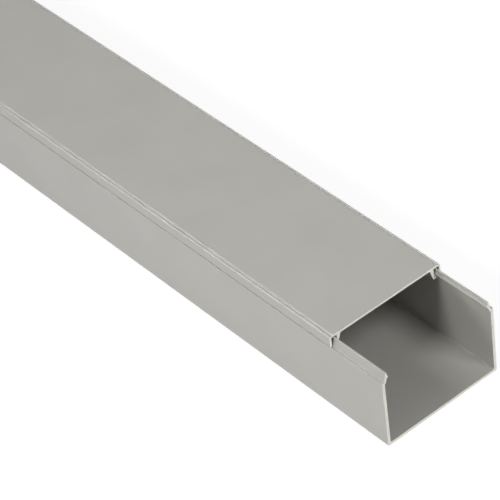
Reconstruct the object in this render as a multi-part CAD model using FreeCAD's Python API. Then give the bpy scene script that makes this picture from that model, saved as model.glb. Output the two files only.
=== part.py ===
import FreeCAD, Part
import math
import os

# A length of plastic cable trunking: a U-shaped channel and its clip-on lid.
# +X runs along the trunking towards the end where the channel shows past the lid,
# +Y across it and +Z up. The origin is in the middle of the channel's flat underside.
# Every size is in millimetres.

# Overall sizes of the closed trunking
trunking_length = 2000.0
trunking_width = 60.0
trunking_height = 40.0
lid_setback = 30.0

# Channel
side_wall = 1.4
floor_thickness = 1.4
outer_corner_radius = 0.8
inner_corner_radius = 0.8
shoulder_radius = 0.15

# Upright rim along the top of each channel wall; its inner face ends in a small ledge
rim_lean = 0.9
rim_top_thickness = 0.75
rim_radius = 0.25
rim_root_radius = 0.25
ledge_below_shoulder = 0.8
ledge_width = 0.55
ledge_fall = 0.2

# Inner face of the rim: a bead along the top, a notch under it, then the barb
rim_bead_height = 0.4
rim_bead_radius = 0.1
notch_fall = 0.45
notch_depth = 0.28
notch_radius = 0.12
barb_below_rim_top = 2.35
barb_reach = 0.6
barb_depth = 0.95
barb_radius = 0.15

# Lid plate and its outer skirts, whose depth is counted from the lid's top
lid_plate = 1.1
lid_depth = 5.4
skirt_thickness = 0.9
lid_corner_radius = 0.85
lid_fillet = 0.2

# Along each edge of the lid a low border, then a groove, then the edge of the raised panel
panel_rise = 0.3
panel_edge_run = 0.7
panel_edge_radius = 1.0
border_width = 1.1
border_side_run = 0.15
border_radius = 0.15
groove_width = 0.25
groove_depth = 0.2
groove_radius = 0.08

# Inner legs of the lid, each with a hook that catches under the barb. Their depth is
# counted from the plate's underside.
leg_depth = 5.4
leg_root_thickness = 2.0
leg_foot_thickness = 0.38
leg_lean = 0.1
leg_fillet = 0.5
hook_root_drop = 0.1
hook_nose_height = 0.7
hook_heel = 0.25
hook_radius = 0.15
foot_radius = 0.35

# Room between the channel and the lid
seat_clearance = 0.3
shoulder_clearance = 0.4
skirt_clearance = 0.3
snap_clearance = 0.22


def rounded_outline(corners):
    """Close a flat outline in the YZ plane from (y, z, radius) corners."""
    stretches = []
    count = len(corners)
    for index, (y, z, radius) in enumerate(corners):
        corner = FreeCAD.Vector(0, y, z)
        before = FreeCAD.Vector(0, *corners[index - 1][:2])
        after = FreeCAD.Vector(0, *corners[(index + 1) % count][:2])
        to_before = (before - corner).normalize()
        to_after = (after - corner).normalize()
        if radius == 0:
            stretches.append((corner, None, corner))
            continue
        half_angle = to_before.getAngle(to_after) / 2
        reach = radius / math.tan(half_angle)
        middle = (to_before + to_after).normalize()
        depth = radius / math.sin(half_angle) - radius
        stretches.append(
            (corner + to_before * reach, corner + middle * depth, corner + to_after * reach)
        )

    edges = []
    for index, (start, middle, end) in enumerate(stretches):
        if middle is not None:
            edges.append(Part.Arc(start, middle, end).toShape())
        following = stretches[(index + 1) % count][0]
        edges.append(Part.makeLine(end, following))
    return Part.Wire(edges)


def both_sides(right_half):
    """Repeat the +Y half of an outline on the -Y side, in the order that closes it."""
    left_half = [(-y, z, radius) for y, z, radius in reversed(right_half)]
    return right_half + left_half


def extrusion(outline, near_end):
    """Run an outline back along -X for the whole trunking length."""
    section = Part.Face(outline)
    section.translate(FreeCAD.Vector(near_end, 0, 0))
    return section.extrude(FreeCAD.Vector(-trunking_length, 0, 0))


# Levels and offsets that both pieces share
side = trunking_width / 2
lid_underside = trunking_height - lid_plate
skirt_bottom = trunking_height - lid_depth
shoulder_level = skirt_bottom - shoulder_clearance
rim_top = lid_underside - seat_clearance
bead_level = rim_top - rim_bead_height
barb_level = rim_top - barb_below_rim_top

inner_wall = side - side_wall
rim_outer_root = side - skirt_thickness - skirt_clearance
rim_outer_top = rim_outer_root - rim_lean
rim_inner_top = rim_outer_top - rim_top_thickness
barb_tip = rim_inner_top - barb_reach
barb_foot = barb_tip + barb_depth
barb_foot_level = barb_level - barb_depth
ledge_edge = inner_wall - ledge_width
ledge_level = shoulder_level - ledge_below_shoulder


def rim_inner_face(level):
    """Distance from the middle to the rim's inner face at a level below the barb."""
    slope = (ledge_edge - barb_foot) / (barb_foot_level - ledge_level)
    return barb_foot + (barb_foot_level - level) * slope


def channel_half():
    """Right half of the channel, from the underside round to the floor's top."""
    return [
        (side, 0, outer_corner_radius),
        (side, shoulder_level, shoulder_radius),
        (rim_outer_root, shoulder_level, rim_root_radius),
        (rim_outer_top, rim_top, rim_radius),
        (rim_inner_top, rim_top, rim_radius),
        (rim_inner_top, bead_level, rim_bead_radius),
        (rim_inner_top + notch_depth, bead_level - notch_fall, notch_radius),
        (barb_tip, barb_level, barb_radius),
        (barb_foot, barb_foot_level, barb_radius),
        (ledge_edge, ledge_level, 0),
        (inner_wall, ledge_level - ledge_fall, 0),
        (inner_wall, floor_thickness, inner_corner_radius),
    ]


def lid_edge():
    """Top edge of the lid: panel edge, groove and border, out to the outer corner."""
    border_level = trunking_height - panel_rise
    groove_level = border_level - groove_depth
    groove_outer = side - border_width
    groove_inner = groove_outer - groove_width
    return [
        (groove_inner - panel_edge_run, trunking_height, panel_edge_radius),
        (groove_inner, groove_level, groove_radius),
        (groove_outer, groove_level, groove_radius),
        (groove_outer + border_side_run, border_level, border_radius),
        (side, border_level, lid_corner_radius),
    ]


def lid_half():
    """Right half of the lid, from the raised panel out, down and back under the plate."""
    skirt_inner = side - skirt_thickness
    leg_outer = barb_tip - snap_clearance
    leg_root_outer = leg_outer - leg_lean
    leg_bottom = lid_underside - leg_depth
    hook_root_level = barb_level - hook_root_drop
    hook_nose_level = leg_bottom + hook_nose_height
    hook_nose = rim_inner_face(hook_nose_level) - snap_clearance
    return lid_edge() + [
        (side, skirt_bottom, lid_fillet),
        (skirt_inner, skirt_bottom, lid_fillet),
        (skirt_inner, lid_underside, lid_fillet),
        (leg_root_outer, lid_underside, lid_fillet),
        (leg_outer, hook_root_level, 0),
        (hook_nose, hook_nose_level, hook_radius),
        (hook_nose - hook_heel, leg_bottom, hook_radius),
        (leg_outer - leg_foot_thickness, leg_bottom, foot_radius),
        (leg_root_outer - leg_root_thickness, lid_underside, leg_fillet),
    ]


parts = {
    "trunking_base": extrusion(rounded_outline(both_sides(channel_half())), trunking_length / 2),
    "clip_on_lid": extrusion(
        rounded_outline(both_sides(lid_half())), trunking_length / 2 - lid_setback
    ),
}

os.makedirs("parts", exist_ok=True)
for node, shape in parts.items():
    shape.exportStep(f"parts/{node}.step")
    print(node, "valid", shape.isValid(), "volume", round(shape.Volume, 1), "mm3")
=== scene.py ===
import bpy
import math
from mathutils import Matrix, Vector


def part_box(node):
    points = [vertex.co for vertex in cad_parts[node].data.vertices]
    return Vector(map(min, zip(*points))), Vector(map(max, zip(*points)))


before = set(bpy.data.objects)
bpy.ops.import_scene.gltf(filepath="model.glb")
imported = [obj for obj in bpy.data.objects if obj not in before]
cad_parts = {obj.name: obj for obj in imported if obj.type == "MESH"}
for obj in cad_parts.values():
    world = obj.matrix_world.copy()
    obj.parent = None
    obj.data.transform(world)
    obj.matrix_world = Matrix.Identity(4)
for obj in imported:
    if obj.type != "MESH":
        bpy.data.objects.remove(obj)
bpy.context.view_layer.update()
print("frame loaded:", ", ".join(sorted(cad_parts)))

scene = bpy.context.scene
scene.view_settings.view_transform = "Standard"

channelNode = "trunking_base"
lidNode = "clip_on_lid"
millimetre = 0.001
white = (1.0, 1.0, 1.0, 1.0)


# Shader helpers

def addNode(tree, kind, place=(0, 0), **settings):
    node = tree.nodes.new(kind)
    node.location = place
    for name, value in settings.items():
        setattr(node, name, value)
    return node


def feed(tree, socket, source):
    # a number or a tuple is set on the socket itself, and an output is linked to it
    if isinstance(source, (int, float, tuple)):
        socket.default_value = source
    else:
        tree.links.new(source, socket)


def mathNode(tree, operation, place, *sources):
    node = addNode(tree, "ShaderNodeMath", place, operation=operation)
    for socket, source in zip(node.inputs, sources):
        feed(tree, socket, source)
    return node.outputs[0]


def noiseNode(tree, place, where, scale, detail=2.0, roughness=0.5):
    node = addNode(tree, "ShaderNodeTexNoise", place)
    feed(tree, node.inputs["Vector"], where)
    feed(tree, node.inputs["Scale"], scale)
    feed(tree, node.inputs["Detail"], detail)
    feed(tree, node.inputs["Roughness"], roughness)
    return node.outputs["Fac"]


def mappingNode(tree, place, where, scale, rotation=(0.0, 0.0, 0.0)):
    node = addNode(tree, "ShaderNodeMapping", place)
    feed(tree, node.inputs["Vector"], where)
    feed(tree, node.inputs["Scale"], scale)
    feed(tree, node.inputs["Rotation"], rotation)
    return node.outputs[0]


noiseReach = (0.3, 0.7)     # most of a noise's values lie between these


def rampNode(tree, place, factor, dark, pale):
    node = addNode(tree, "ShaderNodeValToRGB", place)
    for element, position, colour in zip(node.color_ramp.elements, noiseReach, (dark, pale)):
        element.position = position
        element.color = (*colour, 1)
    feed(tree, node.inputs[0], factor)
    return node.outputs["Color"]


def mixNode(tree, kind, place, factor, first, second):
    node = addNode(tree, "ShaderNodeMix", place, data_type=kind)
    feed(tree, node.inputs["Factor"], factor)
    feed(tree, node.inputs["A"], first)
    feed(tree, node.inputs["B"], second)
    return node.outputs["Result"]


def newGroup(name, inputs, outputs):
    tree = bpy.data.node_groups.new(name, "ShaderNodeTree")
    for label in inputs:
        tree.interface.new_socket(name=label, in_out="INPUT", socket_type="NodeSocketFloat")
    for label in outputs:
        tree.interface.new_socket(name=label, in_out="OUTPUT", socket_type="NodeSocketFloat")
    entry = addNode(tree, "NodeGroupInput", (-900, 0))
    leave = addNode(tree, "NodeGroupOutput", (900, 0))
    return tree, entry.outputs, leave.inputs


def placeGroup(tree, group, place, values):
    node = addNode(tree, "ShaderNodeGroup", place, node_tree=group)
    for name, value in values.items():
        node.inputs[name].default_value = value
    return node.outputs


# Faces that the saw cut, square across the trunking: 1 there, 0 on the moulded skin
def sawnFaceGroup():
    tree, given, result = newGroup("sawnFace", ["Squareness"], ["Mask"])
    geometry = addNode(tree, "ShaderNodeNewGeometry", (-700, 200))
    parts = addNode(tree, "ShaderNodeSeparateXYZ", (-500, 200))
    tree.links.new(geometry.outputs["True Normal"], parts.inputs[0])
    along = mathNode(tree, "ABSOLUTE", (-300, 200), parts.outputs["X"])
    mask = mathNode(tree, "GREATER_THAN", (-100, 200), along, given["Squareness"])
    tree.links.new(mask, result["Mask"])
    return tree


# Fine lines that the die leaves along the trunking, the slow waviness of the skin and its grain
def extrusionSkinGroup():
    tree, given, result = newGroup(
        "extrusionSkin",
        ["Line Spacing", "Wave Spacing", "Grain Spacing"],
        ["Lines", "Waves", "Grain"],
    )
    drawnOut = (0.004, 1.0, 1.0)    # stretches the lines along X
    where = addNode(tree, "ShaderNodeTexCoord", (-900, 300)).outputs["Object"]
    stretched = mappingNode(tree, (-700, 300), where, drawnOut)
    lines = noiseNode(tree, (-400, 300), stretched, given["Line Spacing"], detail=3.0, roughness=0.6)
    waves = noiseNode(tree, (-400, 0), where, given["Wave Spacing"])
    grain = noiseNode(tree, (-400, -300), where, given["Grain Spacing"])
    tree.links.new(lines, result["Lines"])
    tree.links.new(waves, result["Waves"])
    tree.links.new(grain, result["Grain"])
    return tree


# The saw's marks across a cut end, a little ragged, and the paler patches of the cut
def sawMarksGroup():
    tree, given, result = newGroup(
        "sawMarks",
        ["Tooth Spacing", "Slant", "Patch Spacing"],
        ["Marks", "Patches"],
    )
    drawnAcross = (1.0, 0.08, 1.0)  # stretches the marks along Y
    where = addNode(tree, "ShaderNodeTexCoord", (-900, 300)).outputs["Object"]
    slant = addNode(tree, "ShaderNodeCombineXYZ", (-850, 100))
    tree.links.new(given["Slant"], slant.inputs["X"])
    slanted = mappingNode(tree, (-700, 300), where, drawnAcross, slant.outputs[0])
    marks = noiseNode(tree, (-400, 300), slanted, given["Tooth Spacing"], detail=4.0)
    patches = noiseNode(tree, (-400, 0), where, given["Patch Spacing"])
    tree.links.new(marks, result["Marks"])
    tree.links.new(patches, result["Patches"])
    return tree


groups = {
    "sawnFace": sawnFaceGroup(),
    "extrusionSkin": extrusionSkinGroup(),
    "sawMarks": sawMarksGroup(),
}
print("shader groups ready")


# Rigid PVC in stone grey, satin from the die, pale and matt where it was sawn
def rigidPvc(name, look):
    material = bpy.data.materials.new(name)
    material.use_nodes = True
    tree = material.node_tree
    shader = tree.nodes["Principled BSDF"]
    shader.inputs["IOR"].default_value = look["ior"]

    sawn = placeGroup(tree, groups["sawnFace"], (-1100, -100), {"Squareness": look["squareness"]})["Mask"]
    skin = placeGroup(tree, groups["extrusionSkin"], (-1100, 200), {
        "Line Spacing": look["lineSpacing"],
        "Wave Spacing": look["waveSpacing"],
        "Grain Spacing": look["grainSpacing"],
    })
    cut = placeGroup(tree, groups["sawMarks"], (-1100, -300), {
        "Tooth Spacing": look["toothSpacing"],
        "Slant": look["toothSlant"],
        "Patch Spacing": look["patchSpacing"],
    })

    stoneGrey = rampNode(tree, (-850, 400), skin["Waves"], look["skinDark"], look["skinPale"])
    cream = rampNode(tree, (-850, 0), cut["Patches"], look["cutDark"], look["cutPale"])
    colour = mixNode(tree, "RGBA", (-450, 200), sawn, stoneGrey, cream)
    tree.links.new(colour, shader.inputs["Base Color"])

    polish = addNode(tree, "ShaderNodeMapRange", (-850, -250))
    polish.inputs["To Min"].default_value = look["skinRoughness"] - look["roughnessSwing"]
    polish.inputs["To Max"].default_value = look["skinRoughness"] + look["roughnessSwing"]
    tree.links.new(skin["Lines"], polish.inputs["Value"])
    roughness = mixNode(tree, "FLOAT", (-450, -100), sawn, polish.outputs[0], look["cutRoughness"])
    tree.links.new(roughness, shader.inputs["Roughness"])

    lineHeight = mathNode(tree, "MULTIPLY", (-650, -450), skin["Lines"], look["lineHeight"])
    grainHeight = mathNode(tree, "MULTIPLY", (-650, -600), skin["Grain"], look["grainHeight"])
    skinHeight = mathNode(tree, "ADD", (-450, -500), lineHeight, grainHeight)
    markHeight = mathNode(tree, "MULTIPLY", (-650, -750), cut["Marks"], look["markHeight"])
    bump = addNode(tree, "ShaderNodeBump", (-50, -400))
    bump.inputs["Strength"].default_value = look["bump"]
    bump.inputs["Distance"].default_value = millimetre
    height = mixNode(tree, "FLOAT", (-250, -500), sawn, skinHeight, markHeight)
    tree.links.new(height, bump.inputs["Height"])
    tree.links.new(bump.outputs[0], shader.inputs["Normal"])
    return material


# Spacings are in repeats to a metre, heights in millimetres
channelLook = {
    "skinDark": (0.410, 0.401, 0.374),
    "skinPale": (0.430, 0.421, 0.393),
    "cutDark": (0.84, 0.82, 0.74),
    "cutPale": (0.92, 0.90, 0.83),
    "ior": 1.5,
    "skinRoughness": 0.3,
    "roughnessSwing": 0.05,
    "cutRoughness": 0.8,
    "squareness": 0.9,      # a face that looks along X more than this was sawn
    "lineSpacing": 900.0,
    "waveSpacing": 45.0,
    "grainSpacing": 2600.0,
    "toothSpacing": 1500.0,
    "toothSlant": 0.5,
    "patchSpacing": 350.0,
    "lineHeight": 0.02,
    "grainHeight": 0.01,
    "markHeight": 0.15,
    "bump": 0.6,
}
lidLook = dict(channelLook)     # the lid is of the same PVC


def dress(nodeName, material):
    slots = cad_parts[nodeName].data.materials
    slots.clear()
    slots.append(material)


dress(channelNode, rigidPvc("channelPvc", channelLook))
dress(lidNode, rigidPvc("lidPvc", lidLook))
print("channel and lid dressed in PVC")


# A plain pale table that runs out of sight, lifted to white where it is seen
tableLook = {
    "halfWidth": 20.0,
    "colour": (0.38, 0.38, 0.38, 1),
    "roughness": 0.9,
    "lift": 0.76,
}


# 1 for rays that see the background: straight, in a reflection or through something clear
def seenRays(tree):
    rays = addNode(tree, "ShaderNodeLightPath", (-900, 300)).outputs
    seen = mathNode(tree, "MAXIMUM", (-700, 300), rays["Is Camera Ray"], rays["Is Glossy Ray"])
    return mathNode(tree, "MAXIMUM", (-500, 300), seen, rays["Is Transmission Ray"])


def makeTable():
    half = tableLook["halfWidth"]
    mesh = bpy.data.meshes.new("table")
    corners = [(-half, -half, 0), (half, -half, 0), (half, half, 0), (-half, half, 0)]
    mesh.from_pydata(corners, [], [(0, 1, 2, 3)])
    table = bpy.data.objects.new("table", mesh)
    scene.collection.objects.link(table)

    material = bpy.data.materials.new("tablePale")
    material.use_nodes = True
    tree = material.node_tree
    shader = tree.nodes["Principled BSDF"]
    shader.inputs["Base Color"].default_value = tableLook["colour"]
    shader.inputs["Roughness"].default_value = tableLook["roughness"]
    shader.inputs["Specular IOR Level"].default_value = 0.0
    shader.inputs["Emission Color"].default_value = white
    lift = mathNode(tree, "MULTIPLY", (-100, 300), seenRays(tree), tableLook["lift"])
    tree.links.new(lift, shader.inputs["Emission Strength"])
    mesh.materials.append(material)


makeTable()
print("table laid")


# On the -Y side a strip along the trunking, two boxes near the cut end, one above the other, and
# a far window that draws the highlights along the edges. A strip hangs overhead and one stands
# behind, a box leans over the cut end, a low one faces it and one lights the far half. "aim" is a
# place along the trunking, and "spread" keeps the low ones from leaving an edge on the table.
lights = {
    "sideStrip": {
        "azimuth": 0, "elevation": 8, "distance": 1.6, "aim": 0.4,
        "size": (2.6, 0.35), "spread": 100, "watts": 0.95,
    },
    "sideLow": {
        "azimuth": 355, "elevation": 6, "distance": 0.9, "aim": 0.98,
        "size": (0.25, 0.12), "spread": 100, "watts": 0.24,
    },
    "sideHigh": {
        "azimuth": 355, "elevation": 40, "distance": 0.9, "aim": 0.98,
        "size": (0.22, 0.22), "spread": 100, "watts": 0.93,
    },
    "window": {
        "azimuth": 315, "elevation": 27, "distance": 8.0, "aim": 0.98,
        "size": (2.6, 2.2), "spread": 180, "watts": 190.0,
    },
    "over": {
        "azimuth": 0, "elevation": 80, "distance": 2.5, "aim": 0.4,
        "size": (2.6, 0.6), "spread": 180, "watts": 2.6,
    },
    "back": {
        "azimuth": 180, "elevation": 25, "distance": 1.8, "aim": 0.4,
        "size": (2.6, 0.4), "spread": 100, "watts": 3.6,
    },
    "farHalf": {
        "azimuth": 345, "elevation": 50, "distance": 2.0, "aim": -0.9,
        "size": (1.4, 0.5), "spread": 80, "watts": 2.2,
    },
    "front": {
        "azimuth": 102, "elevation": 51, "distance": 2.5, "aim": 0.98,
        "size": (0.9, 0.9), "spread": 180, "watts": 25.0,
    },
    "low": {
        "azimuth": 90, "elevation": 5, "distance": 2.5, "aim": 0.98,
        "size": (0.5, 0.25), "spread": 100, "watts": 4.7,
    },
}
aimHeight = 0.03
roomLight = 0.08    # what the room gives beside the lamps


# Azimuth is counted from -Y round to +X
def bearing(azimuth, elevation):
    turn, rise = math.radians(azimuth), math.radians(elevation)
    return Vector((math.sin(turn) * math.cos(rise), -math.cos(turn) * math.cos(rise), math.sin(rise)))


def makeLights():
    for name, settings in lights.items():
        lamp = bpy.data.lights.new(name, "AREA")
        lamp.shape = "RECTANGLE"
        lamp.size, lamp.size_y = settings["size"]
        lamp.spread = math.radians(settings["spread"])
        lamp.energy = settings["watts"]
        holder = bpy.data.objects.new(name, lamp)
        scene.collection.objects.link(holder)
        away = bearing(settings["azimuth"], settings["elevation"])
        holder.location = Vector((settings["aim"], 0, aimHeight)) + away * settings["distance"]
        holder.rotation_mode = "QUATERNION"
        holder.rotation_quaternion = (-away).to_track_quat("-Z", "Y")


# The room is white where it is seen and dim as a light
def makeRoom():
    world = bpy.data.worlds.new("room")
    scene.world = world
    world.use_nodes = True
    tree = world.node_tree
    sky = tree.nodes["Background"]
    sky.inputs["Color"].default_value = white
    strength = mixNode(tree, "FLOAT", (-100, 300), seenRays(tree), roomLight, 1.0)
    tree.links.new(strength, sky.inputs["Strength"])


makeLights()
makeRoom()
print("lights placed")


# The photograph's viewpoint, told from the bottom middle of the channel's near end
cameraView = {
    "fromNearEnd": (0.55807, -0.47286, 0.72111),
    "azimuth": 55.032,
    "elevation": 40.595,
    "roll": -8.244,
    "lens": 183.6,
    "sensor": 36.0,
}


def makeCamera():
    nearEnd = Vector((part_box(channelNode)[1].x, 0, 0))
    back = bearing(cameraView["azimuth"], cameraView["elevation"])
    level = (-back).to_track_quat("-Z", "Y").to_matrix().to_4x4()
    tilt = Matrix.Rotation(math.radians(cameraView["roll"]), 4, "Z")
    data = bpy.data.cameras.new("camera")
    data.lens = cameraView["lens"]
    data.sensor_width = cameraView["sensor"]
    camera = bpy.data.objects.new("camera", data)
    scene.collection.objects.link(camera)
    camera.matrix_world = Matrix.Translation(nearEnd + Vector(cameraView["fromNearEnd"])) @ level @ tilt
    scene.camera = camera


makeCamera()
print("camera placed")
